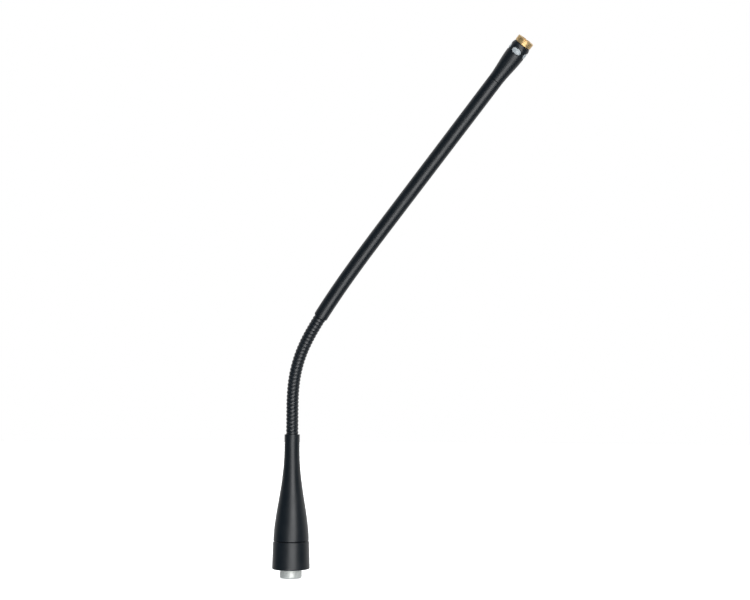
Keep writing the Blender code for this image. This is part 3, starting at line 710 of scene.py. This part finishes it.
def make_stem():
    """The rigid tube, gently curved in its lower part, with a softened mouth."""
    end = HEAD_SEAM - SEAM_GAP
    inner = TUBE_RADIUS - TUBE_WALL
    corners = [(TUBE_RADIUS, TUBE_START, 0.35), (inner, TUBE_START, 0.1), (inner, end, 0.05),
               (TUBE_RADIUS, end, 0.12)]
    tube = turned("stem_tube_skin", densified(filleted(corners), 1.6), BLACK_COAT)
    own(tube, "stem", "black_coat", "stem_tube")


def head_radius(height):
    """The head sleeve's outer radius below its shoulder."""
    flare = float(smooth_ramp(height, 0.0, HEAD_FLARE_END))
    return TUBE_RADIUS + (HEAD_RADIUS - TUBE_RADIUS) * flare


def head_point(angle, outward, sideways, height):
    """A point of the head in metres: outward and sideways from the axis at an angle, and a height."""
    radius = math.hypot(outward, sideways)
    turn = angle + math.atan2(sideways, outward)
    return carried(radius, HEAD_SEAM + height, turn)


def oval(half_width, half_height, count, power=2.8):
    """A rounded oval, fuller than an ellipse, as (sideways, height) offsets."""
    def part(value):
        return math.copysign(abs(value) ** (2.0 / power), value)
    steps = [2.0 * math.pi * i / count for i in range(count)]
    return [(half_width * part(math.cos(t)), half_height * part(math.sin(t))) for t in steps]


def oval_plug(name, angle, rings, material, count=56):
    """A closed oval body facing outwards, from (outward, half width, half height, dome) rings
    given from the inside out; dome follows the sleeve's round."""
    points = []
    for outward, half_width, half_height, follow in rings:
        for sideways, rise in oval(half_width, half_height, count):
            reach = math.sqrt(outward ** 2 - sideways ** 2) if follow else outward
            points.append(head_point(angle, reach, sideways, WINDOW_HEIGHT + rise))
    faces = ring_faces(len(rings), count, close_rows=False)
    last = (len(rings) - 1) * count
    faces.append(tuple(range(count)))
    faces.append(tuple(last + i for i in range(count)))
    return finish_mesh(name, points, faces, material)


def window_rings():
    """The window's straight hole and its bevelled rim, for oval_plug."""
    wide, tall = WINDOW_HALF_WIDTH, WINDOW_HALF_HEIGHT
    return [
        (2.4, wide, tall, False), (4.12, wide, tall, True),
        (4.8, wide + WINDOW_RIM, tall + WINDOW_RIM, True),
        (5.4, wide + WINDOW_RIM, tall + WINDOW_RIM, False),
    ]


def lens_rings():
    """The lens from inside the light guide out to its dome, for oval_plug."""
    wide, tall = WINDOW_HALF_WIDTH - LENS_CLEARANCE, WINDOW_HALF_HEIGHT - LENS_CLEARANCE
    rings = [(2.9, wide, tall, False), (4.1, wide, tall, True)]
    for share in (1.0, 0.94, 0.84, 0.7, 0.52, 0.32, 0.12):
        dome = LENS_EDGE_RADIUS + LENS_DOME * (1.0 - share ** 2)
        rings.append((dome, wide * share, tall * share, True))
    return rings


def make_head():
    """The flared sleeve with its oval windows, and the light guide's domed lenses in them."""
    corners = [(HEAD_TOP_RADIUS, HEAD_TOP, 0.18), (HEAD_RADIUS, HEAD_SHOULDER, 0.25)]
    count = 28
    for i in range(count):
        height = HEAD_FLARE_END * (1.0 - i / count)
        corners.append((head_radius(height), height, 0.0))
    corners += [
        (TUBE_RADIUS, 0.0, 0.12), (HEAD_STUB_RADIUS, 0.0, 0.05),
        (HEAD_STUB_RADIUS, HEAD_STUB_BOTTOM, 0.15), (HEAD_CABLE_BORE_RADIUS, HEAD_STUB_BOTTOM, 0.1),
        (HEAD_CABLE_BORE_RADIUS, HEAD_CABLE_BORE_TOP, 0.3), (HEAD_FUNNEL_RADIUS, HEAD_FUNNEL_TOP, 0.3),
        (HEAD_BORE_RADIUS, HEAD_BORE_BOTTOM, 0.2), (HEAD_BORE_RADIUS, HEAD_BORE_TOP, 0.1),
        (HEAD_MOUTH_RADIUS, HEAD_BORE_TOP, 0.1), (HEAD_MOUTH_RADIUS, HEAD_TOP, 0.15),
    ]
    sleeve = turned("head_sleeve_skin", filleted(corners), BLACK_COAT, base=HEAD_SEAM)
    guide = turned("light_guide_lens", filleted([
        (GUIDE_RADIUS, GUIDE_BOTTOM, 0.1), (GUIDE_BORE_RADIUS, GUIDE_BOTTOM, 0.1),
        (GUIDE_BORE_RADIUS, GUIDE_TOP, 0.1), (GUIDE_RADIUS, GUIDE_TOP, 0.1),
    ]), FROSTED, 96, base=HEAD_SEAM)
    for i in range(WINDOW_COUNT):
        angle = math.radians(FIRST_WINDOW_ANGLE + 360.0 * i / WINDOW_COUNT)
        cut(sleeve, oval_plug("window_tool", angle, window_rings(), BLACK_COAT))
        cut(guide, oval_plug("lens_tool", angle, lens_rings(), FROSTED), "UNION")
    own(sleeve, "stem", "black_coat", "head_sleeve")
    own(guide, "stem", "frosted", "light_guide")


def make_capsule_mount():
    """The gold collar with its fine thread and two spanner notches, and its centre contact."""
    corners = [
        (COLLAR_RADIUS - 0.12, COLLAR_TOP, 0.1), (COLLAR_RADIUS, COLLAR_TOP - 0.2, 0.1),
        (COLLAR_RADIUS, 20.75, 0.05), (COLLAR_RADIUS - 0.02, COLLAR_BOTTOM, 0.1),
        (COLLAR_STEM_RADIUS, COLLAR_BOTTOM, 0.05), (COLLAR_STEM_RADIUS, HEAD_BORE_TOP, 0.1),
        (COLLAR_BORE_RADIUS, HEAD_BORE_TOP, 0.1), (COLLAR_BORE_RADIUS, COLLAR_TOP, 0.12),
    ]
    profile = densified(filleted(corners), 0.06)
    cut_thread = thread(COLLAR_THREAD_PITCH, COLLAR_THREAD_DEPTH, COLLAR_THREAD_START,
                        COLLAR_TOP - 0.1, 0.2, COLLAR_RADIUS, 0.14)
    collar = turned("capsule_thread_ring", profile, GOLD, 160, HEAD_SEAM, cut_thread)
    for angle in map(math.radians, NOTCH_ANGLES):
        bpy.ops.mesh.primitive_cube_add(size=1.0)
        tool = bpy.context.object
        spin = Matrix.Rotation(HEAD_LEAN, 4, "Y") @ Matrix.Rotation(angle, 4, "Z")
        spot = Vector(head_point(angle, NOTCH_RADIUS, 0.0, COLLAR_TOP))
        tool.matrix_world = Matrix.Translation(spot) @ spin @ Matrix.Diagonal((*NOTCH_SIZE * MM, 1.0))
        bpy.context.view_layer.update()
        cut(collar, tool)
    own(collar, "stem", "gold_brass", "capsule_thread")

    insulator = turned("contact_insulator_body", filleted([
        (CONTACT_INSULATOR_RADIUS, CONTACT_INSULATOR_TOP, 0.2),
        (CONTACT_INSULATOR_RADIUS, CONTACT_INSULATOR_BOTTOM, 0.15),
        (CONTACT_INSULATOR_BORE_RADIUS, CONTACT_INSULATOR_BOTTOM, 0.1),
        (CONTACT_INSULATOR_BORE_RADIUS, CONTACT_INSULATOR_TOP, 0.15),
    ]), PALE_PLASTIC, 64, HEAD_SEAM)
    own(insulator, "stem", "pale_plastic", "contact_insulator")
    plunger = turned("center_contact_pin", filleted([
        (0.0, CONTACT_BOTTOM, 0.0), (0.0, CONTACT_TOP, 0.0), (CONTACT_RADIUS, CONTACT_TOP, 0.4),
        (CONTACT_RADIUS, CONTACT_BOTTOM, 0.05),
    ], 6), PIN_GOLD, 32, HEAD_SEAM)
    own(plunger, "contact", "gold_brass", "center_contact")


def dress_carried_nodes():
    """Give the frame's own small inner parts their materials."""
    looks = {
        "retaining_ring": STEEL, "seal_ring": RUBBER, "base_board": BOARD, "board_chip": DARK_PLASTIC,
        "board_capacitor": STEEL, "cable_clamp": PALE_PLASTIC, "lower_ferrule": STEEL,
        "ferrule_nut": STEEL, "set_screw": STEEL, "upper_ferrule": STEEL, "led_board": BOARD,
        "led_1": LAMP, "led_2": LAMP, "led_3": LAMP, "led_4": LAMP, "contact_barrel": PIN_GOLD,
        "contact_spring": STEEL,
    }
    for node, look in looks.items():
        mesh = frame["nodes"][node].data
        mesh.materials.clear()
        mesh.materials.append(look)


# ---------------------------------------------------------------- stage

CAMERA_AZIMUTH = 34.474
CAMERA_ELEVATION = -6.263
CAMERA_ROLL = 0.15
CAMERA_DISTANCE = 0.58715
CAMERA_TARGET = Vector((0.05086, -0.00016, 0.13257))
CAMERA_LENS = 57.6
FLOOR_HEIGHT = -PLUG_DEPTH * MM
SOFTBOX_TILT = -15.0
OVERHEAD_STRENGTH = 4.2
OVERHEAD_ANGLE = 60.0


def towards(azimuth, elevation):
    """The direction from the object at an azimuth from -Y towards +X and an elevation."""
    a, e = math.radians(azimuth), math.radians(elevation)
    return Vector((math.sin(a) * math.cos(e), -math.cos(a) * math.cos(e), math.sin(e)))


def make_camera():
    data = bpy.data.cameras.new("camera")
    data.lens = CAMERA_LENS
    data.clip_start = 0.01
    data.clip_end = 50.0
    camera = bpy.data.objects.new("camera", data)
    bpy.context.scene.collection.objects.link(camera)
    back = towards(CAMERA_AZIMUTH, CAMERA_ELEVATION)
    turn = (-back).to_track_quat("-Z", "Y").to_matrix().to_4x4()
    roll = Matrix.Rotation(math.radians(CAMERA_ROLL), 4, "Z")
    camera.matrix_world = Matrix.Translation(CAMERA_TARGET + back * CAMERA_DISTANCE) @ turn @ roll
    bpy.context.scene.camera = camera


def make_overhead():
    """Even shadowless light from above that whitens the floor, without a reflection of its own."""
    data = bpy.data.lights.new("overhead", "SUN")
    data.energy = OVERHEAD_STRENGTH
    data.angle = math.radians(OVERHEAD_ANGLE)
    data.use_shadow = False
    light = bpy.data.objects.new("overhead", data)
    bpy.context.scene.collection.objects.link(light)
    light.visible_glossy = False


def make_softbox(name, azimuth, elevation, distance, width, height, radiance):
    """A rectangular area light that faces the object and that the camera doesn't see."""
    data = bpy.data.lights.new(name, "AREA")
    data.shape = "RECTANGLE"
    data.size = width
    data.size_y = height
    data.energy = radiance * math.pi * width * height
    light = bpy.data.objects.new(name, data)
    bpy.context.scene.collection.objects.link(light)
    back = towards(azimuth, elevation)
    turn = (-back).to_track_quat("-Z", "Y").to_matrix().to_4x4()
    roll = Matrix.Rotation(math.radians(SOFTBOX_TILT), 4, "Z")
    light.matrix_world = Matrix.Translation(CAMERA_TARGET + back * distance) @ turn @ roll
    light.visible_camera = False


def make_floor():
    """A plain pale floor at the plug's foot, lit evenly and seen from above only."""
    bpy.ops.mesh.primitive_plane_add(size=12.0, location=(0.0, 0.0, FLOOR_HEIGHT))
    floor = bpy.context.object
    floor.name = "floor"
    shader = Shader("floor_look")
    grain = shader.noise(shader.coordinates(), 6.0)
    shader.link(shader.mixed(shader.ranged(grain, 0.0, 1.0), (0.90, 0.90, 0.90), (0.92, 0.92, 0.92)),
                shader.principled.inputs["Base Color"])
    shader.set(Roughness=0.9, Specular_IOR_Level=0.1)
    clear = shader.node("ShaderNodeBsdfTransparent")
    choose = shader.node("ShaderNodeMixShader")
    side = shader.node("ShaderNodeNewGeometry")
    output = next(n for n in shader.tree.nodes if n.type == "OUTPUT_MATERIAL")
    shader.link(side.outputs["Backfacing"], choose.inputs[0])
    shader.link(shader.principled.outputs[0], choose.inputs[1])
    shader.link(clear.outputs[0], choose.inputs[2])
    shader.link(choose.outputs[0], output.inputs["Surface"])
    floor.data.materials.append(shader.material)
    floor.visible_glossy = False
    floor.visible_diffuse = False
    floor.visible_shadow = False


def make_world():
    """White behind the object, and a dim studio round the camera, so that edges catch light."""
    world = bpy.data.worlds.new("studio")
    bpy.context.scene.world = world
    world.use_nodes = True
    tree = world.node_tree
    background = tree.nodes["Background"]
    coordinate = tree.nodes.new("ShaderNodeTexCoord")
    dot = tree.nodes.new("ShaderNodeVectorMath")
    dot.operation = "DOT_PRODUCT"
    dot.inputs[1].default_value = towards(28.0, -18.0)
    spread = tree.nodes.new("ShaderNodeMapRange")
    spread.interpolation_type = "LINEAR"
    spread.inputs["From Min"].default_value = math.cos(math.radians(87.0))
    spread.inputs["From Max"].default_value = math.cos(math.radians(130.0))
    tree.links.new(coordinate.outputs["Generated"], dot.inputs[0])
    tree.links.new(dot.outputs["Value"], spread.inputs["Value"])
    path = tree.nodes.new("ShaderNodeLightPath")
    seen = tree.nodes.new("ShaderNodeMath")
    seen.operation = "MAXIMUM"
    tree.links.new(path.outputs["Is Camera Ray"], seen.inputs[0])
    tree.links.new(spread.outputs["Result"], seen.inputs[1])
    tint = tree.nodes.new("ShaderNodeMix")
    tint.data_type = "RGBA"
    colours = [s for s in tint.inputs if s.type == "RGBA"]
    colours[0].default_value = (0.042, 0.085, 0.13, 1.0)
    colours[1].default_value = (1.0, 1.0, 1.0, 1.0)
    tree.links.new(seen.outputs["Value"], tint.inputs["Factor"])
    tree.links.new(next(s for s in tint.outputs if s.type == "RGBA"), background.inputs["Color"])
    bpy.context.scene.view_settings.view_transform = "Standard"


make_base_cone()
make_locking_ring()
make_plug()
make_neck()
make_stem()
make_head()
make_capsule_mount()
dress_carried_nodes()
make_camera()
make_floor()
make_world()
make_softbox("key", 44.5, -15.0, distance=3.0, width=2.3, height=6.4, radiance=3.4)
make_softbox("upper", 55.0, 24.0, distance=2.9, width=1.1, height=1.3, radiance=3.2)
make_softbox("lower", 38.0, -42.0, distance=2.9, width=1.8, height=1.95, radiance=1.6)
make_overhead()
